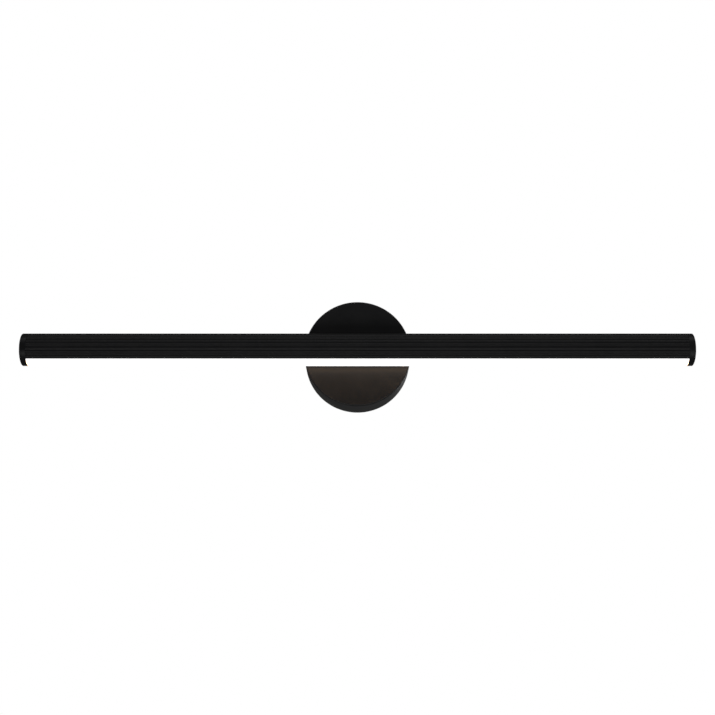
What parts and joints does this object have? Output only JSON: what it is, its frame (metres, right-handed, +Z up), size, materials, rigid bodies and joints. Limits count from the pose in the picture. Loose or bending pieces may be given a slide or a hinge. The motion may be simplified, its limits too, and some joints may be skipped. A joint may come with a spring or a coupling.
{
  "type": "vanity light bar",
  "caption": "Round fluted vanity light bar with an opal strip lit along its underside, turning on a central stem in front of a round wall canopy.",
  "frame": {"origin": "on the wall, at the centre of the mounting plate's two junction box slots", "axes": "+X along the light bar, +Y into the wall, +Z up; the light bar is on the -Y side"},
  "size_m": [0.762, 0.089, 0.123],
  "materials": {
    "satin_black": "satin black powder coat",
    "black_screw": "black oxide",
    "green_screw": "green plated",
    "zinc_steel": "bright zinc",
    "spring_steel": "blued spring steel",
    "bearing_brass": "machined",
    "opal_diffuser": "opal, satin",
    "white_board": "white solder mask on an aluminium core",
    "led_phosphor": "phosphor",
    "circuit_board": "green solder mask",
    "component_black": "moulded",
    "white_plastic": "moulded",
    "lead_insulation": "smooth insulation",
    "black_rubber": "closed-cell foam and rubber"
  },
  "bodies": {
    "wall_side": {"canopy": "satin_black", "wall_gasket": "black_rubber", "mounting_plate": "zinc_steel", "canopy_screws": "black_screw", "ground_screw": "green_screw", "driver_base": "white_plastic", "driver_cover": "white_plastic", "driver_board": "circuit_board", "driver_components": "component_black", "driver_screws": "zinc_steel", "terminal_block": "white_plastic", "terminal_screw": "zinc_steel", "supply_leads": "lead_insulation", "canopy_lead": "lead_insulation", "stem": "satin_black", "stem_lock_washer": "spring_steel", "stem_nut": "zinc_steel", "pivot_axle": "zinc_steel", "friction_washers": "spring_steel", "retaining_rings": "spring_steel"},
    "light_bar": {"housing": "satin_black", "diffuser": "opal_diffuser", "led_board": "white_board", "led_chips": "led_phosphor", "led_board_screws": "zinc_steel", "end_cap_left": "satin_black", "end_cap_right": "satin_black", "end_cap_screws": "black_screw", "bearing_block_left": "bearing_brass", "bearing_block_right": "bearing_brass", "bearing_screws": "zinc_steel", "bar_lead": "lead_insulation", "web_grommet": "black_rubber"}
  },
  "joints": [
    {"name": "bar_aim", "type": "hinge", "parent": "wall_side", "child": "light_bar", "pos_m": [0, -0.0705, 0], "axis": [-1, 0, 0], "range_deg": [-10, 45]}
  ]
}
